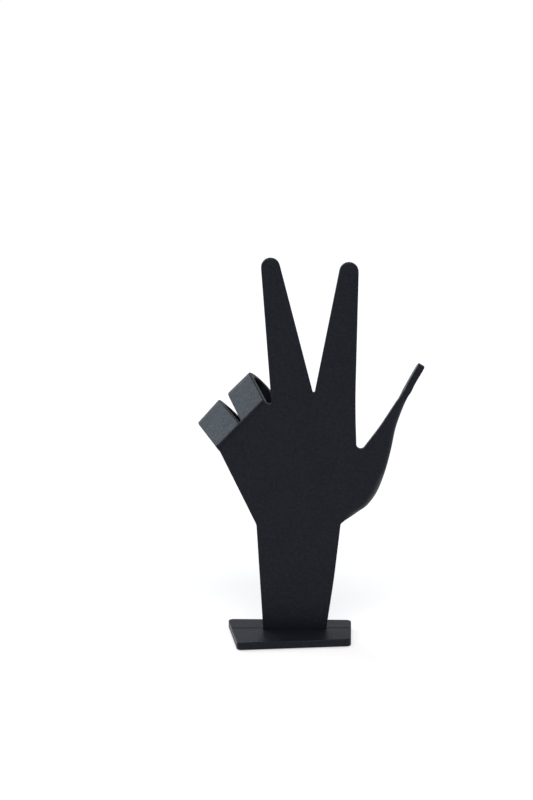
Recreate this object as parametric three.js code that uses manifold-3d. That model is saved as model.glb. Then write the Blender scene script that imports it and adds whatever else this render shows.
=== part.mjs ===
// Cast iron hand with two raised fingers, standing in a groove across a small base plate.
// Millimetres, +Z up. X runs to the right across the back of the hand, Y away from the viewer.
// The origin lies on the table, under the middle of the foot of the wrist.

import * as THREE from 'three';
import { mergeVertices } from 'three/addons/utils/BufferGeometryUtils.js';
import Module from 'manifold-3d';

const wasm = await Module();
wasm.setup();

// Casting; the folded strips stand back a hair from the face of the palm, so that no faces coincide
const PLATE = 4;
const EDGE_RADIUS = 0.7;
const SETBACK = 0.02;

// Wrist, from the top of the base plate to the palm, measured from the middle of the foot
const WRIST_HEIGHT = 61.8;
const WRIST_FOOT_WIDTH = 36.6;
const WRIST_TOP_LEFT = 22.2;
const WRIST_TOP_LEFT_RISE = 1;
const WRIST_TOP_RIGHT = 26.4;
const WRIST_TOP_RIGHT_RISE = 1.6;
const WRIST_BOW = 0.4;
const WRIST_BOW_FILLET = 400;
const WRIST_FILLET = 5;
const HEEL_CORNER_FILLET = 2.5;

// Knuckle line of the two curled fingers: its lower corner above the wrist, and its slope
const KNUCKLE_LEFT = 43.1;
const KNUCKLE_RISE = 44.3;
const KNUCKLE_SLOPE = THREE.MathUtils.degToRad(45.7);
const FINGER_GAP = 1.4;
const WEB_FILLET = 1.2;
const WEB_DEPTH = 0.7;
const WEB_WIDTH = 2.3;

// Raised fingers: centres and radii of the tips above the wrist, and the notch between them
const MIDDLE_TIP_LEFT = 14.1;
const MIDDLE_TIP_RISE = 151.1;
const MIDDLE_TIP_RADIUS = 5.4;
const INDEX_TIP_RIGHT = 30.3;
const INDEX_TIP_RISE = 148.5;
const INDEX_TIP_RADIUS = 5.5;
const INDEX_WAIST_RIGHT = 34.3;
const INDEX_WAIST_RISE = 71;
const INDEX_WAIST_FILLET = 500;
const NOTCH_RIGHT = 10.7;
const NOTCH_RISE = 76.4;
const NOTCH_FILLET = 0.65;

// Curled fingers: widths at the knuckle and tip, lean to the side, and the bends of each
const KNUCKLE_BEND = THREE.MathUtils.degToRad(68);
const KNUCKLE_RADIUS = 2.1;
const KNUCKLE_LEAD = 8;
const RING_WIDTH = 18.3;
const RING_TIP_WIDTH = 17.5;
const RING_LEAN = THREE.MathUtils.degToRad(1.5);
const RING_RUN = 29.2;
const RING_CURL = THREE.MathUtils.degToRad(150);
const RING_CURL_RADIUS = 9;
const RING_MIDDLE_RUN = 7;
const RING_TIP_BEND = THREE.MathUtils.degToRad(60);
const RING_TIP_BEND_RADIUS = 7;
const RING_TIP_RUN = 6;
const LITTLE_WIDTH = 19.4;
const LITTLE_TIP_WIDTH = 18;
const LITTLE_LEAN = THREE.MathUtils.degToRad(-5.5);
const LITTLE_RUN = 31.2;
const LITTLE_CURL = THREE.MathUtils.degToRad(150);
const LITTLE_CURL_RADIUS = 8;
const LITTLE_MIDDLE_RUN = 4;
const LITTLE_TIP_BEND = THREE.MathUtils.degToRad(60);
const LITTLE_TIP_BEND_RADIUS = 6;
const LITTLE_TIP_RUN = 3;

// Thumb: the notch beside the index finger, the inner side of the flat part, and the fold
const CROTCH_RIGHT = 35.4;
const CROTCH_RISE = 41;
const CROTCH_FILLET = 2.5;
const THUMB_BEND_RIGHT = 48.6;
const THUMB_BEND_RISE = 58.8;
const THUMB_BEND_FILLET = 120;
const THUMB_FLAT_RIGHT = 57.4;
const THUMB_FLAT_RISE = 72.8;
const THUMB_FLAT_FILLET = 15;
const THUMB_NECK_INSET = 1.9;
const THUMB_TONGUE_INSET = 1.1;
const THUMB_TONGUE_WIDTH = 2.2;
const FOLD_RADIUS = 2.1;
const FOLD_OVERLAP = 0.8;

// Outer rim of the heel: distance to the right and rise above the wrist, the flat part that runs
// into the palm, the angles the front and back edges are turned away, and the width
const HEEL_RIM = [
  [28.1, 2.8, 1.4, 0, 0, 2],
  [29.9, 3.8, 1.4, 0, 25, 2.4],
  [34.1, 6, 1.4, 0, 60, 4],
  [39.4, 9.5, 1.4, 0, 85, 7],
  [43.8, 14.4, 1.4, 0, 90, 10],
  [48.1, 21.6, 1.4, 0, 90, 12],
  [52, 32.5, 1.4, 0, 90, 13],
  [55, 44.3, 1.4, 0, 90, 13],
];

// The same for the rim of the thumb, from the end of its flat part
const THUMB_END_RIM = [
  [-0.1, -16.8, 1.4, 0, 90, 12],
  [2, -9.7, 1.4, 0, 90, 11],
  [4.7, -2.7, 0.9, 0, 89, 9.5],
  [6.3, 0.8, 0.6, 50, 88, 8],
  [7.8, 4.3, 2, 87, 88, 7],
  [11.5, 11.4, 2, 87, 88, 6.5],
  [15.2, 17.9, 2, 87, 88, 6.5],
  [16.7, 20.4, 2, 87, 88, 6.5],
];

// Rows of that rim: the last with a flat part in front, and where that part is lost in the edge
const FOLD_END_ROW = 10;
const TONGUE_END_ROW = 12.5;

// Base plate: plan distances from the middle of the foot, thickness, the shallow groove across it
// and the deeper seat of the foot in that groove
const BASE_THICKNESS = 4.5;
const BASE_RIGHT_AT_BACK = 33.3;
const BASE_RIGHT_AT_FRONT = 32.2;
const BASE_LEFT_AT_BACK = 39;
const BASE_LEFT_AT_FRONT = 33.2;
const BASE_BACK_AT_LEFT = 20.4;
const BASE_BACK_AT_RIGHT = 18.4;
const BASE_FRONT_AT_LEFT = 28.3;
const BASE_FRONT_AT_RIGHT = 20.5;
const BASE_CORNER_FILLET = 3;
const BASE_EDGE_RADIUS = 0.6;
const GROOVE_DEPTH = 0.35;
const SEAT_DEPTH = 1.2;
const SEAT_CLEARANCE = 0.15;

// Screws from below into the foot, and felt pads
const SCREW_DIAMETER = 2.5;
const SCREW_HEAD_DIAMETER = 5;
const SCREW_LENGTH = 9;
const SCREW_OFFSET = 10;
const SCREW_SLOT = 0.7;
const SCREW_SLOT_DEPTH = 0.8;
const SCREW_RECESS = 0.2;
const SCREW_CLEARANCE = 0.15;
const PAD_DIAMETER = 9;
const PAD_THICKNESS = 0.5;
const PAD_EDGE = 0.15;
const PAD_INSET = 7.5;

// Heights that follow from the sizes above
const BASE_TOP = PAD_THICKNESS + BASE_THICKNESS;
const FOOT_BOTTOM = BASE_TOP - SEAT_DEPTH;
const PALM = BASE_TOP + WRIST_HEIGHT;
const SCREW_BOTTOM = PAD_THICKNESS + SCREW_RECESS;
const fromFlatEnd = ([x, rise, ...form]) => [x + THUMB_FLAT_RIGHT, rise + THUMB_FLAT_RISE, ...form];
const THUMB_RIM = [...HEEL_RIM, ...THUMB_END_RIM.map(fromFlatEnd)];

// Facets
const ARC_STEP = THREE.MathUtils.degToRad(12);
const EDGE_STEPS = 2;
const ROUND_SIDES = 32;
const FOLD_STEPS = 8;
const THUMB_STEPS = 60;
const TIP_STEPS = 6;
const TIP_SWEEP = 0.96;

const castIron = new THREE.MeshStandardMaterial({ color: 0x23252b, roughness: 0.55, metalness: 0.2 });
const castIronBase = new THREE.MeshStandardMaterial({ color: 0x23252a, roughness: 0.5, metalness: 0.2 });
const steel = new THREE.MeshStandardMaterial({ color: 0x4a4c50, roughness: 0.4, metalness: 0.9 });
const felt = new THREE.MeshStandardMaterial({ color: 0x1c1c1e, roughness: 1, metalness: 0 });

// A geometry as a solid that can be joined and cut
function toSolid(geometry) {
  geometry.deleteAttribute('normal');
  geometry.deleteAttribute('uv');
  const merged = mergeVertices(geometry, 1e-4);
  return new wasm.Manifold(new wasm.Mesh({
    numProp: 3,
    vertProperties: new Float32Array(merged.attributes.position.array),
    triVerts: new Uint32Array(merged.index.array),
  }));
}

function toGeometry(solid) {
  const mesh = solid.getMesh();
  const geometry = new THREE.BufferGeometry();
  geometry.setAttribute('position', new THREE.BufferAttribute(mesh.vertProperties, 3));
  geometry.setIndex(new THREE.BufferAttribute(mesh.triVerts, 1));
  geometry.computeVertexNormals();
  return geometry;
}

// The largest body of a solid, without slivers left where faces met
function mainBody(solid) {
  return solid.decompose().reduce((best, body) => (body.volume() > best.volume() ? body : best));
}

// The point where the line from a corner touches a tip circle, on the given side of that line
function tangentPoint(from, tip, side) {
  const reach = new THREE.Vector2().subVectors(from, tip.centre);
  const turn = Math.acos(tip.radius / reach.length());
  return reach.setLength(tip.radius).rotateAround(new THREE.Vector2(), side * turn).add(tip.centre);
}

// A closed outline, drawn clockwise from corners with fillets and tips that are whole circles,
// where two fillets on one edge have half of it each
function filletedShape(items) {
  const count = items.length;
  const entry = [];
  const exit = [];
  items.forEach((item, i) => {
    const before = items[(i + count - 1) % count];
    const after = items[(i + 1) % count];
    entry[i] = item.centre ? tangentPoint(before.at, item, -1) : item.at;
    exit[i] = item.centre ? tangentPoint(after.at, item, 1) : item.at;
  });
  const share = (neighbour) => (neighbour.fillet ? 1 / 2 : 1);
  const shape = new THREE.Shape();
  items.forEach((item, i) => {
    if (item.centre) {
      const start = entry[i].clone().sub(item.centre).angle();
      const end = exit[i].clone().sub(item.centre).angle();
      shape.absarc(item.centre.x, item.centre.y, item.radius, start, end, true);
      return;
    }
    if (!item.fillet) {
      shape[i === 0 ? 'moveTo' : 'lineTo'](item.at.x, item.at.y);
      return;
    }
    const toBefore = exit[(i + count - 1) % count].clone().sub(item.at);
    const toAfter = entry[(i + 1) % count].clone().sub(item.at);
    const room = Math.min(
      toBefore.length() * share(items[(i + count - 1) % count]),
      toAfter.length() * share(items[(i + 1) % count]),
    );
    toBefore.normalize();
    toAfter.normalize();
    const half = toBefore.angleTo(toAfter) / 2;
    const trim = Math.min(item.fillet / Math.tan(half), room);
    const fillet = trim * Math.tan(half);
    const centre = toBefore.clone().add(toAfter).setLength(fillet / Math.sin(half)).add(item.at);
    const turnsLeft = toBefore.cross(toAfter) > 0;
    const start = toBefore.multiplyScalar(trim).add(item.at).sub(centre).angle();
    const end = toAfter.multiplyScalar(trim).add(item.at).sub(centre).angle();
    shape.absarc(centre.x, centre.y, fillet, start, end, turnsLeft);
  });
  return shape;
}

// A plate with rounded edges whose outline is the shape
function roundedPlate(shape, thickness, edge, curveSegments) {
  return new THREE.ExtrudeGeometry(shape, {
    depth: thickness - 2 * edge,
    bevelThickness: edge,
    bevelSize: edge,
    bevelOffset: -edge,
    bevelSegments: EDGE_STEPS,
    curveSegments,
  }).translate(0, 0, edge - thickness / 2);
}

// Half the thickness of the casting at a distance from its edge
function halfThickness(distance) {
  const short = EDGE_RADIUS - Math.min(distance, EDGE_RADIUS);
  return PLATE / 2 - EDGE_RADIUS + Math.sqrt(EDGE_RADIUS ** 2 - short ** 2);
}

// Distances across a strip, from 0 to its width, closer together at the rounded edges
function stripColumns(width, inner) {
  const edge = Math.min(EDGE_RADIUS, width / 4);
  const columns = [0, 0.3 * edge];
  for (let i = 0; i <= inner + 1; i++) {
    columns.push(edge + (width - 2 * edge) * i / (inner + 1));
  }
  columns.push(width - 0.3 * edge, width);
  return columns;
}

// A bent plate from rows of points on its middle surface, each with a normal and half a thickness
function bentPlate(rows) {
  const across = rows[0].length;
  const positions = [];
  rows.flat().forEach(({ mid, normal, half }) => {
    positions.push(...mid.clone().addScaledVector(normal, half).toArray());
    positions.push(...mid.clone().addScaledVector(normal, -half).toArray());
  });
  const front = (r, c) => 2 * (r * across + c);
  const back = (r, c) => front(r, c) + 1;
  const index = [];
  const quad = (a, b, c, d) => index.push(a, b, c, a, c, d);
  for (let r = 0; r + 1 < rows.length; r++) {
    for (let c = 0; c + 1 < across; c++) {
      quad(front(r, c), front(r, c + 1), front(r + 1, c + 1), front(r + 1, c));
      quad(back(r, c), back(r + 1, c), back(r + 1, c + 1), back(r, c + 1));
    }
    quad(front(r, 0), front(r + 1, 0), back(r + 1, 0), back(r, 0));
    const last = across - 1;
    quad(front(r, last), back(r, last), back(r + 1, last), front(r + 1, last));
  }
  const end = rows.length - 1;
  for (let c = 0; c + 1 < across; c++) {
    quad(front(0, c), back(0, c), back(0, c + 1), front(0, c + 1));
    quad(front(end, c), front(end, c + 1), back(end, c + 1), back(end, c));
  }
  const geometry = new THREE.BufferGeometry();
  geometry.setAttribute('position', new THREE.BufferAttribute(new Float32Array(positions), 3));
  geometry.setIndex(index);
  return geometry;
}

function smoothCurve(points) {
  return new THREE.CatmullRomCurve3(points, false, 'catmullrom');
}

// The line of the outer rim, from the wrist round the heel to the tip of the thumb
function thumbRim() {
  return smoothCurve(THUMB_RIM.map(([x, rise]) => new THREE.Vector3(x, 0, PALM + rise)));
}

// Palm, wrist and raised fingers, cut off along the knuckle line and inside the thumb's roll
function palmPlate() {
  const at = (x, rise, fillet = 0) => ({ at: new THREE.Vector2(x, PALM + rise), fillet });
  const tip = (x, rise, radius) => ({ centre: new THREE.Vector2(x, PALM + rise), radius });
  const footRise = FOOT_BOTTOM - 2 * EDGE_RADIUS - PALM;
  const knuckleLength = LITTLE_WIDTH + FINGER_GAP + RING_WIDTH;
  const knuckleEndX = knuckleLength * Math.cos(KNUCKLE_SLOPE) - KNUCKLE_LEFT;
  const knuckleEndRise = KNUCKLE_RISE + knuckleLength * Math.sin(KNUCKLE_SLOPE);
  const rim = thumbRim();
  const insideFold = (i) => thumbSection(...formOf(THUMB_RIM[i])).reach - FOLD_OVERLAP;
  const insideRim = (i, inset = insideFold(i)) => {
    const t = i / (THUMB_RIM.length - 1);
    const tangent = rim.getTangent(t);
    const point = rim.getPoint(t);
    return { at: new THREE.Vector2(point.x - tangent.z * inset, point.z + tangent.x * inset) };
  };
  const foldedRows = Array.from({ length: FOLD_END_ROW }, (_, i) => FOLD_END_ROW - i);
  const shape = filletedShape([
    at(WRIST_FOOT_WIDTH / 2, footRise),
    at(-WRIST_FOOT_WIDTH / 2, footRise),
    at(-WRIST_FOOT_WIDTH / 2, -WRIST_HEIGHT),
    at(-WRIST_TOP_LEFT, WRIST_TOP_LEFT_RISE, WRIST_FILLET),
    at(-KNUCKLE_LEFT, KNUCKLE_RISE),
    at(knuckleEndX, knuckleEndRise),
    at(knuckleEndX + WEB_WIDTH, knuckleEndRise - WEB_DEPTH, WEB_FILLET),
    tip(-MIDDLE_TIP_LEFT, MIDDLE_TIP_RISE, MIDDLE_TIP_RADIUS),
    at(NOTCH_RIGHT, NOTCH_RISE, NOTCH_FILLET),
    tip(INDEX_TIP_RIGHT, INDEX_TIP_RISE, INDEX_TIP_RADIUS),
    at(INDEX_WAIST_RIGHT, INDEX_WAIST_RISE, INDEX_WAIST_FILLET),
    at(CROTCH_RIGHT, CROTCH_RISE, CROTCH_FILLET),
    at(THUMB_BEND_RIGHT, THUMB_BEND_RISE, THUMB_BEND_FILLET),
    at(THUMB_FLAT_RIGHT, THUMB_FLAT_RISE, THUMB_FLAT_FILLET),
    insideRim(TONGUE_END_ROW, THUMB_TONGUE_INSET + THUMB_TONGUE_WIDTH),
    insideRim(TONGUE_END_ROW, THUMB_TONGUE_INSET),
    insideRim(FOLD_END_ROW + 2, THUMB_TONGUE_INSET),
    insideRim(FOLD_END_ROW + 1, THUMB_NECK_INSET),
    ...foldedRows.map((i) => insideRim(i)),
    at(THUMB_RIM[0][0], THUMB_RIM[0][1]),
    at(WRIST_TOP_RIGHT, WRIST_TOP_RIGHT_RISE, HEEL_CORNER_FILLET),
    at((WRIST_FOOT_WIDTH / 2 + WRIST_TOP_RIGHT) / 2 + WRIST_BOW, -WRIST_HEIGHT / 2, WRIST_BOW_FILLET),
    at(WRIST_FOOT_WIDTH / 2, -WRIST_HEIGHT),
  ]);
  return roundedPlate(shape, PLATE, EDGE_RADIUS, 6).rotateX(Math.PI / 2);
}

// Steps along a path that runs straight and bends, as distance, place and heading
function bentPath(moves) {
  const steps = [{ run: 0, u: 0, w: 0, heading: 0 }];
  moves.forEach(({ length, turn = 0 }) => {
    const count = turn ? Math.ceil(Math.abs(turn) / ARC_STEP) : 2;
    for (let i = 0; i < count; i++) {
      const last = steps[steps.length - 1];
      const heading = last.heading + turn / count;
      const middle = last.heading + turn / count / 2;
      const half = turn / count / 2;
      const chord = (length / count) * (half ? Math.sin(half) / half : 1);
      steps.push({
        run: last.run + length / count,
        u: last.u + chord * Math.cos(middle),
        w: last.w + chord * Math.sin(middle),
        heading,
      });
    }
  });
  return steps;
}

// A direction turned towards another at right angles to it
function swung(from, towards, angle) {
  return from.clone().multiplyScalar(Math.cos(angle)).addScaledVector(towards, Math.sin(angle));
}

// A finger that folds back at the knuckle line, leans to one side and curls round behind the palm.
// Without a run it ends at the fold.
function curledFinger({ start, width, tipWidth, lean, run, curl, setback = SETBACK }) {
  const along = new THREE.Vector3(Math.cos(KNUCKLE_SLOPE), 0, Math.sin(KNUCKLE_SLOPE));
  const up = new THREE.Vector3(-Math.sin(KNUCKLE_SLOPE), 0, Math.cos(KNUCKLE_SLOPE));
  const away = new THREE.Vector3(0, 1, 0);
  const knuckle = new THREE.Vector3(-KNUCKLE_LEFT, setback, PALM + KNUCKLE_RISE);
  knuckle.addScaledVector(along, start + width / 2).addScaledVector(up, -KNUCKLE_LEAD);
  const foldLength = KNUCKLE_RADIUS * KNUCKLE_BEND;
  const fold = bentPath([{ length: KNUCKLE_LEAD }, { length: foldLength, turn: KNUCKLE_BEND }]);
  const folded = fold[fold.length - 1];
  const rest = bentPath([{ length: run }, ...curl]);
  const total = foldLength + rest[rest.length - 1].run;
  const rows = [];
  const addRow = (middle, axis, normal, strip, endDistance) => {
    rows.push(stripColumns(strip, 1).map((d) => ({
      mid: middle.clone().addScaledVector(axis, d - strip / 2),
      normal,
      half: halfThickness(Math.min(d, strip - d, endDistance)),
    })));
  };
  const widthAt = (length) => THREE.MathUtils.lerp(width, tipWidth, Math.max(length, 0) / total);
  fold.forEach((step) => {
    const middle = knuckle.clone().addScaledVector(up, step.u).addScaledVector(away, step.w);
    const normal = swung(away, up, -step.heading).negate();
    addRow(middle, along, normal, widthAt(step.run - KNUCKLE_LEAD), EDGE_RADIUS);
  });
  if (!run) {
    return bentPlate(rows);
  }
  const root = knuckle.clone().addScaledVector(up, folded.u).addScaledVector(away, folded.w);
  const rise = swung(up, away, KNUCKLE_BEND);
  const inward = swung(away, up, -KNUCKLE_BEND);
  const direction = swung(rise, along, lean);
  const place = (step) => root.clone().addScaledVector(direction, step.u).addScaledVector(inward, step.w);
  const normalAt = (step) => swung(inward, direction, -step.heading).negate();
  rest.slice(1).forEach((step) => {
    const axis = swung(along, rise, -lean * Math.min(step.run / run, 1));
    addRow(place(step), axis, normalAt(step), widthAt(foldLength + step.run), EDGE_RADIUS);
  });
  const end = rest[rest.length - 1];
  const tipRadius = tipWidth / 2;
  for (let i = 1; i <= TIP_STEPS; i++) {
    const angle = (Math.PI / 2) * (i / TIP_STEPS) * TIP_SWEEP;
    const reach = tipRadius * Math.sin(angle);
    const step = {
      u: end.u + reach * Math.cos(end.heading),
      w: end.w + reach * Math.sin(end.heading),
      heading: end.heading,
    };
    const axis = swung(along, rise, -lean);
    addRow(place(step), axis, normalAt(step), tipWidth * Math.cos(angle), tipRadius - reach);
  }
  return bentPlate(rows);
}

function ringFinger() {
  return curledFinger({
    start: LITTLE_WIDTH + FINGER_GAP,
    width: RING_WIDTH,
    tipWidth: RING_TIP_WIDTH,
    lean: RING_LEAN,
    run: RING_RUN,
    curl: [
      { length: RING_CURL_RADIUS * RING_CURL, turn: RING_CURL },
      { length: RING_MIDDLE_RUN },
      { length: RING_TIP_BEND_RADIUS * RING_TIP_BEND, turn: RING_TIP_BEND },
      { length: RING_TIP_RUN },
    ],
  });
}

function littleFinger() {
  return curledFinger({
    start: 0,
    width: LITTLE_WIDTH,
    tipWidth: LITTLE_TIP_WIDTH,
    lean: LITTLE_LEAN,
    run: LITTLE_RUN,
    curl: [
      { length: LITTLE_CURL_RADIUS * LITTLE_CURL, turn: LITTLE_CURL },
      { length: LITTLE_MIDDLE_RUN },
      { length: LITTLE_TIP_BEND_RADIUS * LITTLE_TIP_BEND, turn: LITTLE_TIP_BEND },
      { length: LITTLE_TIP_RUN },
    ],
  });
}

// The web that joins the two curled fingers at the fold
function fingerWeb() {
  const overlap = 2 * EDGE_RADIUS;
  const width = FINGER_GAP + 2 * overlap;
  return curledFinger({
    start: LITTLE_WIDTH - overlap,
    width,
    tipWidth: width,
    lean: 0,
    run: 0,
    curl: [],
    setback: 2 * SETBACK,
  });
}

// The flat part, angles and width of one row of the rim
function formOf([, , lead, front, back, width]) {
  return [lead, THREE.MathUtils.degToRad(front), THREE.MathUtils.degToRad(back), width];
}

// A section across the heel or thumb: flat, then a tight fold, then straight to the back edge
function thumbSection(lead, front, back, width) {
  const bend = FOLD_RADIUS * Math.max(back - front, 0);
  const place = (q) => {
    const inBend = THREE.MathUtils.clamp(q, 0, bend);
    const angle = front + inBend / FOLD_RADIUS;
    const straight = q - inBend;
    return {
      n: FOLD_RADIUS * (Math.sin(angle) - Math.sin(front)) + straight * Math.cos(angle),
      b: FOLD_RADIUS * (Math.cos(front) - Math.cos(angle)) + straight * Math.sin(angle),
      angle,
    };
  };
  return { lead, width, bend, place, reach: place(width).n + (PLATE / 2) * Math.sin(back) };
}

// Distances across a section of the thumb, closer together at its edges and in the fold
function thumbColumns(first, last, bend) {
  const width = last - first;
  const edge = Math.min(EDGE_RADIUS, width / 4);
  const bendStart = Math.max(0, first + 1.1 * edge);
  const bendEnd = Math.max(bend, bendStart + width / 4);
  const columns = [first, first + 0.3 * edge, first + edge];
  for (let i = 0; i <= FOLD_STEPS; i++) {
    columns.push(THREE.MathUtils.lerp(bendStart, bendEnd, i / FOLD_STEPS));
  }
  columns.push((bendEnd + last - edge) / 2, last - edge, last - 0.3 * edge, last);
  return columns;
}

// The heel of the hand and the thumb: a strip folded back along its rim, which ends edge on
function turnedThumb() {
  const rim = thumbRim();
  const forms = THUMB_RIM.map(formOf);
  const turns = smoothCurve(forms.map(([lead, front, back]) => new THREE.Vector3(lead, front, back)));
  const widths = smoothCurve(forms.map(([, , , width]) => new THREE.Vector3(width, 0, 0)));
  const length = rim.getLength();
  const away = new THREE.Vector3(0, 1, 0);
  const tipRadius = THUMB_RIM[THUMB_RIM.length - 1][5] / 2;
  const distances = [];
  for (let i = 0; i <= THUMB_STEPS; i++) {
    distances.push((length - tipRadius) * i / THUMB_STEPS);
  }
  for (let i = 1; i <= TIP_STEPS; i++) {
    distances.push(length - tipRadius + tipRadius * Math.sin((Math.PI / 2) * (i / TIP_STEPS) * TIP_SWEEP));
  }
  const rows = distances.map((distance) => {
    const t = rim.getUtoTmapping(distance / length);
    const at = rim.getPoint(t);
    const tangent = rim.getTangent(t);
    const outward = new THREE.Vector3(tangent.z, 0, -tangent.x);
    const turn = turns.getPoint(t);
    const lead = Math.max(turn.x, 0);
    const front = Math.max(turn.y, 0);
    const { width, bend, place, reach } = thumbSection(lead, front, turn.z, widths.getPoint(t).x);
    const fromTip = length - distance;
    const tip = Math.min(fromTip / tipRadius, 1);
    const half = ((width + lead) / 2) * Math.sqrt(1 - (1 - tip) ** 2);
    const first = (width - lead) / 2 - half;
    const last = (width - lead) / 2 + half;
    return thumbColumns(first, last, bend).map((q) => {
      const { n, b, angle } = place(q);
      const mid = at.clone().addScaledVector(outward, n - reach).addScaledVector(away, b + SETBACK);
      const normal = swung(away.clone().negate(), outward, angle);
      return { mid, normal, half: halfThickness(Math.min(q - first, last - q, fromTip)) };
    });
  });
  return bentPlate(rows);
}

// A box by its size and centre
function block(width, depth, height, x, y, z) {
  return toSolid(new THREE.BoxGeometry(width, depth, height).translate(x, y, z));
}

// A turned solid standing along Z, from radius and height pairs
function turned(profile, x, y) {
  const points = profile.map(([r, z]) => new THREE.Vector2(r, z));
  return new THREE.LatheGeometry(points, ROUND_SIDES).rotateX(Math.PI / 2).translate(x, y, 0);
}

// Outline of a countersunk screw, grown by a clearance for its hole
function screwProfile(clearance) {
  const shank = SCREW_DIAMETER / 2 + clearance;
  const head = SCREW_HEAD_DIAMETER / 2 + clearance;
  const bottom = SCREW_BOTTOM - clearance;
  const seat = SCREW_BOTTOM + (SCREW_HEAD_DIAMETER - SCREW_DIAMETER) / 2 + clearance;
  const top = SCREW_BOTTOM + SCREW_LENGTH + clearance;
  return [[0, bottom], [head, bottom], [shank, seat], [shank, top], [0, top]];
}

const screwPlaces = { left: -SCREW_OFFSET, right: SCREW_OFFSET };

function handSolid() {
  let hand = toSolid(palmPlate());
  hand = hand.add(toSolid(ringFinger()));
  hand = hand.add(toSolid(littleFinger()));
  hand = hand.add(toSolid(fingerWeb()));
  hand = hand.add(toSolid(turnedThumb()));
  const trim = 10;
  hand = hand.subtract(block(2 * WRIST_FOOT_WIDTH, trim, trim, 0, 0, FOOT_BOTTOM - trim / 2));
  Object.values(screwPlaces).forEach((x) => {
    hand = hand.subtract(toSolid(turned(screwProfile(SCREW_CLEARANCE), x, 0)));
  });
  return mainBody(hand);
}

const baseCorners = [
  [-BASE_LEFT_AT_FRONT, -BASE_FRONT_AT_LEFT],
  [-BASE_LEFT_AT_BACK, BASE_BACK_AT_LEFT],
  [BASE_RIGHT_AT_BACK, BASE_BACK_AT_RIGHT],
  [BASE_RIGHT_AT_FRONT, -BASE_FRONT_AT_RIGHT],
];

function basePlateSolid() {
  const shape = filletedShape(baseCorners.map(([x, y]) => ({
    at: new THREE.Vector2(x, y),
    fillet: BASE_CORNER_FILLET,
  })));
  const middle = PAD_THICKNESS + BASE_THICKNESS / 2;
  let base = toSolid(roundedPlate(shape, BASE_THICKNESS, BASE_EDGE_RADIUS, 4).translate(0, 0, middle));
  const grooveWidth = PLATE + 2 * SEAT_CLEARANCE;
  const grooveLength = 3 * BASE_LEFT_AT_BACK;
  const seatLength = WRIST_FOOT_WIDTH + 2 * SEAT_CLEARANCE;
  base = base.subtract(block(grooveLength, grooveWidth, 2 * GROOVE_DEPTH, 0, 0, BASE_TOP));
  base = base.subtract(block(seatLength, grooveWidth, 2 * SEAT_DEPTH, 0, 0, BASE_TOP));
  Object.values(screwPlaces).forEach((x) => {
    base = base.subtract(toSolid(turned(screwProfile(SCREW_CLEARANCE), x, 0)));
    const head = SCREW_HEAD_DIAMETER / 2 + SCREW_CLEARANCE;
    const mouth = [[0, 0], [head, 0], [head, SCREW_BOTTOM], [0, SCREW_BOTTOM]];
    base = base.subtract(toSolid(turned(mouth, x, 0)));
  });
  return base;
}

function screwSolid(x) {
  const slot = block(2 * SCREW_HEAD_DIAMETER, SCREW_SLOT, 2 * SCREW_SLOT_DEPTH, x, 0, SCREW_BOTTOM);
  return toSolid(turned(screwProfile(0), x, 0)).subtract(slot);
}

function padGeometry(x, y) {
  const radius = PAD_DIAMETER / 2;
  return turned([
    [0, 0],
    [radius - PAD_EDGE, 0],
    [radius, PAD_EDGE],
    [radius, PAD_THICKNESS],
    [0, PAD_THICKNESS],
  ], x, y);
}

function piece(name, geometry, material) {
  const mesh = new THREE.Mesh(geometry, material);
  mesh.name = name;
  return mesh;
}

const hand = new THREE.Group();
hand.add(piece('hand', toGeometry(handSolid()), castIron));
hand.add(piece('base_plate', toGeometry(basePlateSolid()), castIronBase));
Object.entries(screwPlaces).forEach(([side, x]) => {
  hand.add(piece(`base_screw_${side}`, toGeometry(screwSolid(x)), steel));
});
const padNames = ['front_left', 'back_left', 'back_right', 'front_right'];
baseCorners.forEach(([x, y], i) => {
  const pad = padGeometry(x - Math.sign(x) * PAD_INSET, y - Math.sign(y) * PAD_INSET);
  hand.add(piece(`foot_pad_${padNames[i]}`, pad, felt));
});

export default hand;
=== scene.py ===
"""Black cast iron hand on a small base plate: looks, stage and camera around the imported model."""

import math

import bmesh
import bpy
from bpy.props import FloatProperty, FloatVectorProperty, PointerProperty
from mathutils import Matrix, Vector


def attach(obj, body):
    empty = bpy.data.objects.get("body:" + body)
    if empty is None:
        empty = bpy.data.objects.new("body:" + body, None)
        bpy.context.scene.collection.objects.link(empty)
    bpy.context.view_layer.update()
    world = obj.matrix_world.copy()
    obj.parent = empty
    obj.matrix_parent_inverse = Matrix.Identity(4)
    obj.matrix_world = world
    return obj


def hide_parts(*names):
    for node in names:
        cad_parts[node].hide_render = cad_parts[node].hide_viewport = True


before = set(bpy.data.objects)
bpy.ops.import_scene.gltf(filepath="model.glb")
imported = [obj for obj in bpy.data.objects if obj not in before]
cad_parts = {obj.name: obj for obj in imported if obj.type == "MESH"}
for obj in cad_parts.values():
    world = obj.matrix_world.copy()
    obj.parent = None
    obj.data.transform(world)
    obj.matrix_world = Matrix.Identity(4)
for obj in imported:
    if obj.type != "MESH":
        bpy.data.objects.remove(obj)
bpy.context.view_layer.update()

bl_info = {
    "name": "Cast iron hand",
    "version": (1, 0, 0),
    "blender": (4, 5, 0),
    "location": "View3D > Sidebar > Iron hand",
    "description": "Dresses a cast iron hand on a base plate and sets its studio",
    "category": "Object",
}

BODY = "root"
PADS = ["foot_pad_front_left", "foot_pad_back_left", "foot_pad_back_right", "foot_pad_front_right"]
SCREWS = ["base_screw_left", "base_screw_right"]

# Lengths in metres: vertices nearer than this are one, heights nearer than this are level
MERGE_DISTANCE = 2e-6
LEVEL_TOLERANCE = 1e-6
GROOVE_DEPTH = 0.00035

# Faces that meet at more than this angle keep a sharp edge
CASTING_CREASE = math.radians(50)
SCREW_CREASE = math.radians(30)

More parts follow.
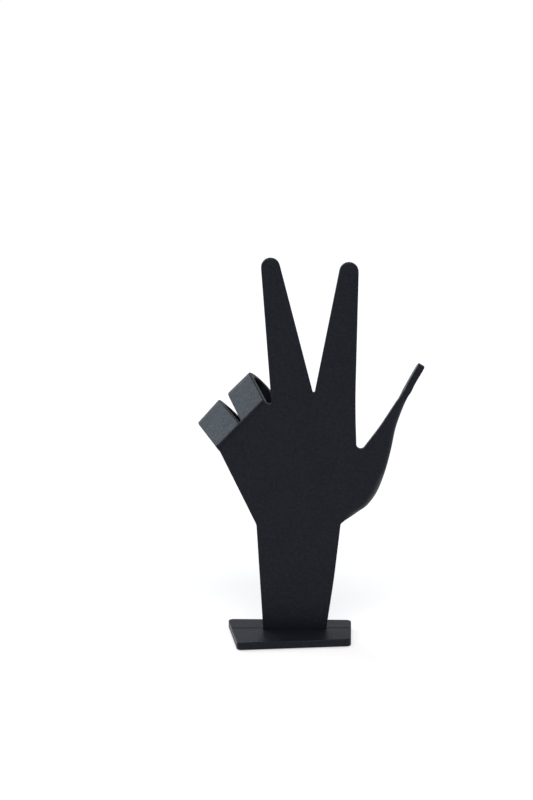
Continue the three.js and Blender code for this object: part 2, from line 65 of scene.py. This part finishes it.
# Round meshes: faces around, rows of faces on the side of a felt disc and rings on its ends
ROUND_FACES = 64
FELT_SIDE_ROWS = 6
FELT_END_RINGS = 12

# Felt rim: how suddenly it turns. Slot of a screw: its cutter beside the radius of the head
RIM_CURVE = 4.0
SLOT_REACH = 3.0

# Painted highlight on the rim of the heel: the way it faces, from where to where a face gets it, and its
# heights above the floor
PAINTED_HIGHLIGHT = "highlighted"
HEEL_FACING = Vector((0.87, 0.0, -0.49))
HEEL_TURN = (0.2, 0.75)
HEEL_LOW = (0.07, 0.082)
HEEL_HIGH = (0.1, 0.094)

# Noises: scale, detail and roughness. The scale of the first three is divided by the size of the grain
FINE_GRAIN = (1.0, 3.0, 0.6)
COARSE_GRAIN = (0.35, 2.0, 0.5)
MOTTLE = (0.8, 4.0, 0.7)
UNEVEN_FINISH = (45.0, 3.0, 0.5)
STEEL_WEAR = (900.0, 3.0, 0.5)
FELT_FIBRES = (4200.0, 4.0, 0.7)
FELT_TUFTS = (1800.0, 2.0, 0.5)
NOISE_RANGE = (0.3, 0.7)

# Iron: how far its roughness varies in broad and fine patches, and its sheen from patch to patch
BROAD_ROUGHNESS = 0.03
FINE_ROUGHNESS = 0.04
SHEEN_PATCHES = (0.7, 1.3)

# Steel and felt: the second colour beside the first, and the surface
DULL_STEEL = 0.6
STEEL_ROUGHNESS = (0.28, 0.42)
LIGHT_FIBRE = 3.0
FELT_ROUGHNESS = 0.95
FELT_SHEEN = 0.3

# Studio: floor and room, each growing lighter towards the back, and the film of the camera
FLOOR_COLOUR = (0.57, 0.55, 0.54, 1.0)
FLOOR_FADE = (0.4, 1.8)
ROOM_COLOUR = (0.92, 0.94, 1.0, 1.0)
ROOM_FADE = (-0.2, 0.6)
SENSOR_HEIGHT = 36.0
CLIP_END = 100.0
LEVEL_VIEW = math.radians(90)
BACK_BOX = {
    "place": (-0.82, 0.76, 0.66),
    "target": (-0.03, 0.01, 0.12),
    "size": (0.9, 0.9),
    "colour": (0.8, 0.93, 1.0),
}
FRONT_BOX = {
    "place": (0.0, -1.2, 1.6),
    "target": (0.0, 0.0, 0.1),
    "size": (1.2, 0.8),
    "colour": (0.97, 0.98, 1.0),
}


# Settings a user would change


class IronFinish(bpy.types.PropertyGroup):
    """Finish of the hand and the base plate."""

    colour: FloatVectorProperty(
        name="Black",
        description="Colour of the black finish",
        subtype="COLOR",
        default=(0.0074, 0.0083, 0.0128),
    )
    worn_colour: FloatVectorProperty(
        name="Thin black",
        description="Colour where the finish is thinner",
        subtype="COLOR",
        default=(0.0103, 0.0113, 0.0162),
    )
    gloss_tint: FloatVectorProperty(
        name="Gloss tint",
        description="Tint of the sheen seen straight on",
        subtype="COLOR",
        default=(0.82, 0.9, 1.0),
    )
    roughness: FloatProperty(
        name="Roughness", description="Mean roughness of the finish", default=0.46, min=0.0, max=1.0
    )
    gloss: FloatProperty(
        name="Gloss", description="Strength of the sheen", default=0.18, min=0.0, max=1.0
    )
    # Painted highlight: sheen added on the marked rim of the heel
    painted_highlight_gloss: FloatProperty(
        name="Highlight gloss", description="Sheen added where the heel of the hand is rubbed", default=0.45
    )
    grain: FloatProperty(
        name="Grain", description="Size of the cast grain", subtype="DISTANCE", default=0.0013
    )
    grain_height: FloatProperty(
        name="Grain height", description="Height of the cast grain", subtype="DISTANCE", default=0.00015
    )
    groove_paint: FloatProperty(
        name="Paint in the groove",
        description="Depth of the finish that has run into the groove of the base",
        subtype="DISTANCE",
        default=0.0002,
    )


class FeltFinish(bpy.types.PropertyGroup):
    """Finish of the felt feet."""

    colour: FloatVectorProperty(
        name="Felt", description="Colour of the felt", subtype="COLOR", default=(0.012, 0.012, 0.013)
    )
    fuzz: FloatProperty(
        name="Fuzz", description="Unevenness of the felt", subtype="DISTANCE", default=0.00005
    )
    rim: FloatProperty(
        name="Rim", description="How far the cut rim is worn round", subtype="DISTANCE", default=0.00015
    )


class ScrewFinish(bpy.types.PropertyGroup):
    """Finish of the screws under the base."""

    colour: FloatVectorProperty(
        name="Steel", description="Colour of the screws", subtype="COLOR", default=(0.3, 0.3, 0.31)
    )
    slot_width: FloatProperty(
        name="Slot width", description="Width of the slot in the head", subtype="DISTANCE", default=0.0007
    )
    slot_depth: FloatProperty(
        name="Slot depth", description="Depth of the slot in the head", subtype="DISTANCE", default=0.0008
    )


class StudioSettings(bpy.types.PropertyGroup):
    """Camera, floor and light."""

    camera_place: FloatVectorProperty(
        name="Camera",
        description="Where the camera stands",
        subtype="TRANSLATION",
        default=(-0.01635, -1.6724, 0.5118),
    )
    camera_drop: FloatProperty(
        name="Camera drop",
        description="How far the camera looks down",
        subtype="ANGLE",
        default=math.radians(12.5),
    )
    lens: FloatProperty(name="Lens", description="Focal length in millimetres", default=135.0)
    floor_radius: FloatProperty(
        name="Floor", description="Radius of the floor", subtype="DISTANCE", default=14.0
    )
    ground_near: FloatProperty(
        name="Ground near", description="White of the floor at the hand, beside its light", default=0.58
    )
    ground_far: FloatProperty(
        name="Ground far", description="White of the floor far behind, beside its light", default=0.8
    )
    room_front: FloatProperty(
        name="Room in front", description="Light of the room before the hand", default=0.3
    )
    room_back: FloatProperty(
        name="Room behind", description="Light of the room behind the hand", default=0.58
    )
    back_light: FloatProperty(
        name="Back light", description="Power of the box behind and to the left", subtype="POWER", default=7.2
    )
    front_light: FloatProperty(
        name="Front light", description="Power of the box above the camera", subtype="POWER", default=20.0
    )


class HandSettings(bpy.types.PropertyGroup):
    """All settings of the hand and its studio."""

    iron: PointerProperty(type=IronFinish)
    felt: PointerProperty(type=FeltFinish)
    screw: PointerProperty(type=ScrewFinish)
    studio: PointerProperty(type=StudioSettings)


# Nodes of materials and shapes


class Nodes:
    """A short way to add and join the nodes of one tree."""

    def __init__(self, tree):
        self.tree = tree
        self.tree.nodes.clear()

    def add(self, kind, label, **values):
        node = self.tree.nodes.new(kind)
        node.label = label
        for key, value in values.items():
            setattr(node, key, value)
        return node

    def feed(self, socket, value):
        """Gives a socket a link from another socket, or a constant."""
        if isinstance(value, bpy.types.NodeSocket):
            self.tree.links.new(value, socket)
        else:
            socket.default_value = value

    def make(self, kind, label, inputs, **values):
        """Adds a node with its inputs, named or numbered."""
        node = self.add(kind, label, **values)
        for key, value in inputs.items():
            self.feed(node.inputs[key], value)
        return node

    def sum(self, label, operation, *values):
        """A calculation on sockets and constants."""
        inputs = dict(enumerate(values))
        return self.make("ShaderNodeMath", label, inputs, operation=operation).outputs["Value"]

    def vector(self, label, operation, inputs):
        """A calculation on vectors."""
        return self.make("ShaderNodeVectorMath", label, inputs, operation=operation).outputs["Vector"]

    def apart(self, label, vector, axis):
        """One coordinate of a vector."""
        return self.make("ShaderNodeSeparateXYZ", label, {"Vector": vector}).outputs[axis]

    def upwards(self, label, height):
        """A vector straight up."""
        return self.make("ShaderNodeCombineXYZ", label, {"Z": height}).outputs["Vector"]


def noise(nodes, label, place, kind, size=1.0):
    """A noise over the given coordinates."""
    scale, detail, roughness = kind
    inputs = {"Vector": place, "Scale": scale / size, "Detail": detail, "Roughness": roughness}
    return nodes.make("ShaderNodeTexNoise", label, inputs).outputs["Fac"]


def spread(nodes, label, value, low, high, limits=NOISE_RANGE):
    """Maps a value between its limits to the range from low to high."""
    from_low, from_high = limits
    inputs = {
        "Value": value, "From Min": from_low, "From Max": from_high, "To Min": low, "To Max": high
    }
    return nodes.make("ShaderNodeMapRange", label, inputs).outputs["Result"]


# Materials


def new_material(name):
    """An empty material, its nodes and the coordinates of the piece."""
    material = bpy.data.materials.new(name)
    material.use_nodes = True
    nodes = Nodes(material.node_tree)
    return material, nodes, nodes.add("ShaderNodeTexCoord", "Place on the piece").outputs["Object"]


def two_colours(nodes, label, first, second, share):
    """A mix of two colours."""
    inputs = {"A": (*first, 1.0), "B": (*second, 1.0), "Factor": share}
    return nodes.make("ShaderNodeMix", label, inputs, data_type="RGBA").outputs["Result"]


def relief(nodes, label, height, distance):
    """Normals of a fine relief."""
    inputs = {"Strength": 1.0, "Distance": distance, "Height": height}
    return nodes.make("ShaderNodeBump", label, inputs).outputs["Normal"]


def end_surface(nodes, label, inputs):
    """Ends a material with one surface."""
    surface = nodes.make("ShaderNodeBsdfPrincipled", label, inputs)
    nodes.make("ShaderNodeOutputMaterial", "Out", {"Surface": surface.outputs["BSDF"]})


def black_iron(finish):
    """Black satin finish over sand-cast iron, with fine grain."""
    material, nodes, place = new_material("black_cast_iron")
    fine = noise(nodes, "Fine grain", place, FINE_GRAIN, finish.grain)
    coarse = noise(nodes, "Coarse grain", place, COARSE_GRAIN, finish.grain)
    mottle = noise(nodes, "Mottle", place, MOTTLE, finish.grain)
    broad = noise(nodes, "Uneven finish", place, UNEVEN_FINISH)
    thin = spread(nodes, "Where it is thin", broad, 0.0, 1.0)
    height = nodes.sum("Fine and coarse grain", "ADD", fine, coarse)
    smoother = finish.roughness - BROAD_ROUGHNESS
    rougher = finish.roughness + BROAD_ROUGHNESS
    broad_rough = spread(nodes, "Broad roughness", broad, smoother, rougher)
    fine_rough = spread(nodes, "Fine roughness", fine, -FINE_ROUGHNESS, FINE_ROUGHNESS)
    dull, bright = (share * finish.gloss for share in SHEEN_PATCHES)
    patchy = spread(nodes, "Patchy sheen", mottle, dull, bright)
    # Painted highlight: the marked rim of the heel gets more sheen
    highlighted = nodes.add("ShaderNodeAttribute", "Where it is rubbed", attribute_name=PAINTED_HIGHLIGHT).outputs["Fac"]
    shine = nodes.sum("Shine of rubbed places", "MULTIPLY_ADD", highlighted, finish.painted_highlight_gloss, patchy)
    end_surface(nodes, "Black iron", {
        "Base Color": two_colours(nodes, "Black to thin black", finish.colour, finish.worn_colour, thin),
        "Roughness": nodes.sum("Roughness", "ADD", broad_rough, fine_rough),
        "Normal": relief(nodes, "Grain", height, finish.grain_height),
        "Specular IOR Level": shine,
        "Specular Tint": (*finish.gloss_tint, 1.0),
    })
    return material


def screw_steel(finish):
    """Plain steel, duller and rougher in small patches."""
    material, nodes, place = new_material("screw_steel")
    wear = noise(nodes, "Wear", place, STEEL_WEAR)
    dull = [DULL_STEEL * c for c in finish.colour]
    end_surface(nodes, "Steel", {
        "Base Color": two_colours(nodes, "Steel to dull steel", finish.colour, dull, wear),
        "Roughness": spread(nodes, "Roughness", wear, *STEEL_ROUGHNESS),
        "Metallic": 1.0,
    })
    return material


def black_felt(finish):
    """Pressed wool felt."""
    material, nodes, place = new_material("black_felt")
    fibres = noise(nodes, "Fibres", place, FELT_FIBRES)
    light = [LIGHT_FIBRE * c for c in finish.colour]
    share = spread(nodes, "Light fibres", fibres, 0.0, 1.0)
    end_surface(nodes, "Felt", {
        "Base Color": two_colours(nodes, "Felt to light fibre", finish.colour, light, share),
        "Normal": relief(nodes, "Fibre relief", fibres, finish.fuzz),
        "Roughness": FELT_ROUGHNESS,
        "Sheen Weight": FELT_SHEEN,
    })
    return material


def white_floor(studio):
    """White floor that also shows white in the sheen, and keeps the shadow."""
    material, nodes, place = new_material("white_floor")
    rays = nodes.add("ShaderNodeLightPath", "Kind of ray").outputs
    first = nodes.sum("Seen or mirrored", "MAXIMUM", rays["Is Camera Ray"], rays["Is Glossy Ray"])
    seen = nodes.sum("Seen, mirrored or through", "MAXIMUM", first, rays["Is Transmission Ray"])
    behind = nodes.apart("How far behind", place, "Y")
    white = spread(nodes, "Near to far", behind, studio.ground_near, studio.ground_far, FLOOR_FADE)
    level = nodes.sum("White level", "MULTIPLY", seen, white)
    matt = nodes.make("ShaderNodeBsdfDiffuse", "Matt white", {"Color": FLOOR_COLOUR})
    glow = nodes.make(
        "ShaderNodeEmission", "White ground", {"Color": (1.0, 1.0, 1.0, 1.0), "Strength": level}
    )
    both = nodes.make(
        "ShaderNodeAddShader", "Matt and ground", {0: matt.outputs["BSDF"], 1: glow.outputs["Emission"]}
    )
    nodes.make("ShaderNodeOutputMaterial", "Out", {"Surface": both.outputs["Shader"]})
    return material


# Shapes of the small pieces


def shape_tree(name, lengths):
    """A Geometry Nodes tree that takes points, lengths and a material, and gives a mesh."""
    tree = bpy.data.node_groups.new(name, "GeometryNodeTree")
    tree.interface.new_socket("Points", in_out="INPUT", socket_type="NodeSocketGeometry")
    for label in lengths:
        length = tree.interface.new_socket(label, in_out="INPUT", socket_type="NodeSocketFloat")
        length.subtype = "DISTANCE"
    tree.interface.new_socket("Material", in_out="INPUT", socket_type="NodeSocketMaterial")
    tree.interface.new_socket("Mesh", in_out="OUTPUT", socket_type="NodeSocketGeometry")
    nodes = Nodes(tree)
    return tree, nodes, nodes.add("NodeGroupInput", "Sizes").outputs


def moved(nodes, label, mesh, offset):
    """A mesh whose vertices are moved one by one."""
    inputs = {"Geometry": mesh, "Offset": offset}
    return nodes.make("GeometryNodeSetPosition", label, inputs).outputs["Geometry"]


def raised(nodes, label, mesh, height):
    """A mesh moved up as a whole."""
    inputs = {"Geometry": mesh, "Translation": nodes.upwards("How far up", height)}
    return nodes.make("GeometryNodeTransform", label, inputs).outputs["Geometry"]


def at_each_point(nodes, sizes, shape):
    """Ends a tree: the shape at every point, as one mesh with its material."""
    copies = nodes.make(
        "GeometryNodeInstanceOnPoints", "At each point", {"Points": sizes["Points"], "Instance": shape}
    )
    joined = nodes.make(
        "GeometryNodeRealizeInstances", "One mesh", {"Geometry": copies.outputs["Instances"]}
    )
    dressed = nodes.make(
        "GeometryNodeSetMaterial", "Finish",
        {"Geometry": joined.outputs["Geometry"], "Material": sizes["Material"]},
    )
    nodes.make("NodeGroupOutput", "Out", {"Mesh": dressed.outputs["Geometry"]})


def felt_foot_tree():
    """A felt disc that stands on each point, its rim worn round and its faces uneven."""
    tree, nodes, sizes = shape_tree("felt_feet", ["Radius", "Thickness", "Rim", "Fuzz"])
    disc = nodes.make("GeometryNodeMeshCylinder", "Cut disc", {
        "Vertices": ROUND_FACES,
        "Side Segments": FELT_SIDE_ROWS,
        "Fill Segments": FELT_END_RINGS,
        "Radius": sizes["Radius"],
        "Depth": sizes["Thickness"],
    })
    place = nodes.add("GeometryNodeInputPosition", "Place").outputs["Position"]
    half = nodes.sum("Half the thickness", "DIVIDE", sizes["Thickness"], 2.0)
    away = nodes.sum("From the middle", "ABSOLUTE", nodes.apart("Height in the disc", place, "Z"))
    level = nodes.sum("Share of the height", "DIVIDE", away, half)
    near = nodes.sum("Only near the faces", "POWER", level, RIM_CURVE)
    inset = nodes.sum("Worn rim", "MULTIPLY", near, sizes["Rim"])
    shrink = nodes.sum("Share of the radius", "DIVIDE", inset, sizes["Radius"])
    inwards = nodes.vector("Along the disc", "MULTIPLY", {0: place, 1: (-1.0, -1.0, 0.0)})
    drawn = nodes.vector("Rim drawn in", "SCALE", {0: inwards, "Scale": shrink})
    worn = moved(nodes, "Worn disc", disc.outputs["Mesh"], drawn)
    tufts = noise(nodes, "Tufts", place, FELT_TUFTS)
    deepest = nodes.sum("Inwards", "MULTIPLY", sizes["Fuzz"], -1.0)
    sink = nodes.sum("How far tufts sink", "MULTIPLY", tufts, deepest)
    normal = nodes.add("GeometryNodeInputNormal", "Out of the felt").outputs["Normal"]
    dents = nodes.vector("Dents", "SCALE", {0: normal, "Scale": sink})
    uneven = moved(nodes, "Uneven disc", worn, dents)
    at_each_point(nodes, sizes, raised(nodes, "Standing disc", uneven, half))
    return tree


def screw_tree():
    """A slotted countersunk screw that points up from each point, which is the middle of its head."""
    tree, nodes, sizes = shape_tree(
        "countersunk_screws", ["Head radius", "Shank radius", "Length", "Slot width", "Slot depth"]
    )
    bar = nodes.make("GeometryNodeMeshCylinder", "Bar with three rings", {
        "Vertices": ROUND_FACES,
        "Side Segments": 2,
        "Radius": sizes["Shank radius"],
        "Depth": sizes["Length"],
    })
    place = nodes.add("GeometryNodeInputPosition", "Place").outputs["Position"]
    height = nodes.apart("Height in the bar", place, "Z")
    half = nodes.sum("Half the length", "DIVIDE", sizes["Length"], 2.0)
    quarter = nodes.sum("A quarter of the length", "DIVIDE", sizes["Length"], 4.0)
    below = nodes.sum("Below the middle", "MULTIPLY", quarter, -1.0)
    at_head = nodes.sum("Lowest ring", "LESS_THAN", height, below)
    away = nodes.sum("From the middle", "ABSOLUTE", height)
    at_neck = nodes.sum("Middle ring", "LESS_THAN", away, quarter)
    taper = nodes.sum("Height of the head", "SUBTRACT", sizes["Head radius"], sizes["Shank radius"])
    wider = nodes.sum("Head beside shank", "DIVIDE", taper, sizes["Shank radius"])
    flare = nodes.sum("Only at the head", "MULTIPLY", wider, at_head)
    outwards = nodes.vector("Out from the axis", "MULTIPLY", {0: place, 1: (1.0, 1.0, 0.0)})
    flared = nodes.vector("Head flared", "SCALE", {0: outwards, "Scale": flare})
    fall = nodes.sum("Neck to its height", "SUBTRACT", taper, half)
    lowered = nodes.upwards("Neck moved", nodes.sum("Only at the neck", "MULTIPLY", fall, at_neck))
    moves = nodes.vector("Head and neck", "ADD", {0: flared, 1: lowered})
    screw = raised(nodes, "Screw in place", moved(nodes, "Screw", bar.outputs["Mesh"], moves), half)
    across = nodes.sum("Right across the head", "MULTIPLY", sizes["Head radius"], SLOT_REACH)
    both_ways = nodes.sum("Twice the depth", "MULTIPLY", sizes["Slot depth"], 2.0)
    cut = nodes.make(
        "ShaderNodeCombineXYZ", "Size of the cut", {"X": across, "Y": sizes["Slot width"], "Z": both_ways}
    )
    slot = nodes.make("GeometryNodeMeshCube", "Slot", {"Size": cut.outputs["Vector"]})
    slotted = nodes.make(
        "GeometryNodeMeshBoolean", "Slotted head",
        {"Mesh 1": screw, "Mesh 2": slot.outputs["Mesh"]}, operation="DIFFERENCE",
    )
    at_each_point(nodes, sizes, slotted.outputs["Mesh"])
    return tree


def grown_mesh(name, tree, points, values):
    """What a tree makes at the given points, as a plain mesh."""
    seeds = bpy.data.meshes.new(name + "_points")
    seeds.from_pydata(points, [], [])
    holder = bpy.data.objects.new(name + "_points", seeds)
    bpy.context.scene.collection.objects.link(holder)
    growth = holder.modifiers.new(name, "NODES")
    growth.node_group = tree
    for item in tree.interface.items_tree:
        if item.in_out == "INPUT" and item.name in values:
            growth[item.identifier] = values[item.name]
    grown = holder.evaluated_get(bpy.context.evaluated_depsgraph_get())
    mesh = bpy.data.meshes.new_from_object(grown)
    mesh.name = name
    holder.modifiers.remove(growth)
    bpy.data.objects.remove(holder)
    bpy.data.meshes.remove(seeds)
    return mesh


# Pieces


def settings():
    return bpy.context.scene.iron_hand


def material_once(name, make, finish):
    """A material by its name, made when it is first asked for."""
    return bpy.data.materials.get(name) or make(finish)


def merged_copy(node, name):
    """A CAD node as one joined mesh, without its own normals."""
    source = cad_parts[node].data
    mesh = bpy.data.meshes.new(name)
    mesh.from_pydata(
        [v.co for v in source.vertices], [], [list(p.vertices) for p in source.polygons]
    )
    shape = bmesh.new()
    shape.from_mesh(mesh)
    bmesh.ops.remove_doubles(shape, verts=shape.verts, dist=MERGE_DISTANCE)
    shape.to_mesh(mesh)
    shape.free()
    return mesh


def finished_piece(mesh, material, nodes, sharp=CASTING_CREASE):
    """Puts a mesh in the scene in place of CAD nodes, smooth where its faces meet at shallow angles."""
    if material.name not in mesh.materials:
        mesh.materials.append(material)
    mesh.shade_smooth()
    mesh.set_sharp_from_angle(angle=sharp)
    piece = bpy.data.objects.new(mesh.name, mesh)
    bpy.context.scene.collection.objects.link(piece)
    even = piece.modifiers.new("Even shading", "WEIGHTED_NORMAL")
    even.keep_sharp = True
    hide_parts(*nodes)
    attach(piece, BODY)


def cad_box(node):
    """Lowest and highest corner of a CAD node."""
    places = [v.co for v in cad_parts[node].data.vertices]
    return [Vector([pick(p[axis] for p in places) for axis in range(3)]) for pick in (min, max)]


def under_middle(low, high):
    """The point under the middle of a box, level with its underside."""
    return ((low.x + high.x) / 2.0, (low.y + high.y) / 2.0, low.z)


def ramp(value, low, high):
    """How far a value is on its way from low to high, from 0 to 1."""
    return min(max((value - low) / (high - low), 0.0), 1.0)


def mark_painted_highlight(mesh):
    """Marks the rim of the heel that gets a painted highlight: more sheen where it faces the given way,
    between the given heights.
    """
    marks = mesh.attributes.new(PAINTED_HIGHLIGHT, "FLOAT", "POINT")
    for vertex, mark in zip(mesh.vertices, marks.data):
        turned = ramp(vertex.normal.dot(HEEL_FACING), *HEEL_TURN)
        mark.value = turned * ramp(vertex.co.z, *HEEL_LOW) * ramp(vertex.co.z, *HEEL_HIGH)


def fill_groove(mesh, paint):
    """Raises the floor of the groove across the base by the finish that has run into it."""
    floor = max(v.co.z for v in mesh.vertices) - GROOVE_DEPTH
    for vertex in mesh.vertices:
        if abs(vertex.co.z - floor) < LEVEL_TOLERANCE:
            vertex.co.z += paint


class IRONHAND_OT_hand(bpy.types.Operator):
    """Dress the hand casting"""

    bl_idname = "iron_hand.hand"
    bl_label = "Hand casting"

    def execute(self, context):
        iron = material_once("black_cast_iron", black_iron, settings().iron)
        mesh = merged_copy("hand", "hand_casting")
        # Marks the rim of the heel for the painted highlight
        mark_painted_highlight(mesh)
        finished_piece(mesh, iron, ["hand"])
        return {"FINISHED"}


class IRONHAND_OT_base(bpy.types.Operator):
    """Dress the base plate"""

    bl_idname = "iron_hand.base"
    bl_label = "Base plate"

    def execute(self, context):
        finish = settings().iron
        iron = material_once("black_cast_iron", black_iron, finish)
        mesh = merged_copy("base_plate", "base_casting")
        fill_groove(mesh, finish.groove_paint)
        finished_piece(mesh, iron, ["base_plate"])
        return {"FINISHED"}


class IRONHAND_OT_screws(bpy.types.Operator):
    """Dress the two screws under the base"""

    bl_idname = "iron_hand.screws"
    bl_label = "Screws"

    def execute(self, context):
        finish = settings().screw
        steel = material_once("screw_steel", screw_steel, finish)
        boxes = [cad_box(node) for node in SCREWS]
        low, high = boxes[0]
        middle = (low + high) / 2.0
        corners = [v.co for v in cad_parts[SCREWS[0]].data.vertices]
        tops = [p for p in corners if p.z > high.z - LEVEL_TOLERANCE]
        values = {
            "Head radius": (high.x - low.x) / 2.0,
            "Shank radius": max((p - middle).xy.length for p in tops),
            "Length": high.z - low.z,
            "Slot width": finish.slot_width,
            "Slot depth": finish.slot_depth,
            "Material": steel,
        }
        points = [under_middle(*box) for box in boxes]
        mesh = grown_mesh("steel_screws", screw_tree(), points, values)
        finished_piece(mesh, steel, SCREWS, SCREW_CREASE)
        return {"FINISHED"}


class IRONHAND_OT_feet(bpy.types.Operator):
    """Dress the felt feet under the base"""

    bl_idname = "iron_hand.feet"
    bl_label = "Felt feet"

    def execute(self, context):
        finish = settings().felt
        felt = material_once("black_felt", black_felt, finish)
        boxes = [cad_box(node) for node in PADS]
        low, high = boxes[0]
        values = {
            "Radius": (high.x - low.x) / 2.0,
            "Thickness": high.z - low.z,
            "Rim": finish.rim,
            "Fuzz": finish.fuzz,
            "Material": felt,
        }
        points = [under_middle(*box) for box in boxes]
        mesh = grown_mesh("felt_feet", felt_foot_tree(), points, values)
        finished_piece(mesh, felt, PADS)
        return {"FINISHED"}


# Studio


def add_floor(scene, studio):
    """A round white floor."""
    mesh = bpy.data.meshes.new("floor")
    disc = bmesh.new()
    bmesh.ops.create_circle(disc, cap_ends=True, segments=ROUND_FACES, radius=studio.floor_radius)
    disc.to_mesh(mesh)
    disc.free()
    mesh.materials.append(white_floor(studio))
    floor = bpy.data.objects.new("floor", mesh)
    scene.collection.objects.link(floor)


def add_room(scene, studio):
    """Light from all around, stronger from behind the hand."""
    world = bpy.data.worlds.new("room")
    world.use_nodes = True
    nodes = Nodes(world.node_tree)
    direction = nodes.add("ShaderNodeTexCoord", "Direction").outputs["Generated"]
    behind = nodes.apart("How far behind", direction, "Y")
    level = spread(nodes, "Front to back", behind, studio.room_front, studio.room_back, ROOM_FADE)
    air = nodes.make("ShaderNodeBackground", "Room light", {"Color": ROOM_COLOUR, "Strength": level})
    nodes.make("ShaderNodeOutputWorld", "Out", {"Surface": air.outputs["Background"]})
    scene.world = world


def add_soft_box(scene, name, power, place, target, size, colour):
    """A rectangular light that points at its target."""
    lamp = bpy.data.lights.new(name, "AREA")
    lamp.shape = "RECTANGLE"
    lamp.size, lamp.size_y = size
    lamp.energy = power
    lamp.color = colour
    box = bpy.data.objects.new(name, lamp)
    scene.collection.objects.link(box)
    box.location = place
    box.rotation_euler = (Vector(target) - Vector(place)).to_track_quat("-Z", "Y").to_euler()


def add_camera(scene, studio):
    """The camera, from the front and a little above."""
    lens = bpy.data.cameras.new("camera")
    lens.lens = studio.lens
    lens.sensor_fit = "VERTICAL"
    lens.sensor_height = SENSOR_HEIGHT
    lens.clip_end = CLIP_END
    camera = bpy.data.objects.new("camera", lens)
    scene.collection.objects.link(camera)
    camera.location = studio.camera_place
    camera.rotation_euler = (LEVEL_VIEW - studio.camera_drop, 0.0, 0.0)
    scene.camera = camera


class IRONHAND_OT_stage(bpy.types.Operator):
    """Set the floor, the light and the camera"""

    bl_idname = "iron_hand.stage"
    bl_label = "Stage"

    def execute(self, context):
        studio = settings().studio
        scene = context.scene
        scene.view_settings.view_transform = "Standard"
        add_floor(scene, studio)
        add_room(scene, studio)
        add_soft_box(scene, "back_left_box", studio.back_light, **BACK_BOX)
        add_soft_box(scene, "front_box", studio.front_light, **FRONT_BOX)
        add_camera(scene, studio)
        return {"FINISHED"}


class IRONHAND_PT_panel(bpy.types.Panel):
    """Lists the steps that dress the hand"""

    bl_label = "Iron hand"
    bl_idname = "IRONHAND_PT_panel"
    bl_space_type = "VIEW_3D"
    bl_region_type = "UI"
    bl_category = "Iron hand"

    def draw(self, context):
        for step in STEPS:
            self.layout.operator(step.bl_idname)
        for part in ("iron", "felt", "screw", "studio"):
            group = getattr(context.scene.iron_hand, part)
            box = self.layout.box()
            for name in group.__annotations__:
                box.prop(group, name)


STEPS = (IRONHAND_OT_stage, IRONHAND_OT_hand, IRONHAND_OT_base, IRONHAND_OT_screws, IRONHAND_OT_feet)
CLASSES = (IronFinish, FeltFinish, ScrewFinish, StudioSettings, HandSettings, *STEPS, IRONHAND_PT_panel)


def register():
    for cls in CLASSES:
        bpy.utils.register_class(cls)
    bpy.types.Scene.iron_hand = PointerProperty(type=HandSettings)


def unregister():
    del bpy.types.Scene.iron_hand
    for cls in reversed(CLASSES):
        bpy.utils.unregister_class(cls)


def main():
    register()
    bpy.ops.iron_hand.stage()
    bpy.ops.iron_hand.hand()
    bpy.ops.iron_hand.base()
    bpy.ops.iron_hand.screws()
    bpy.ops.iron_hand.feet()


if __name__ == "__main__":
    main()
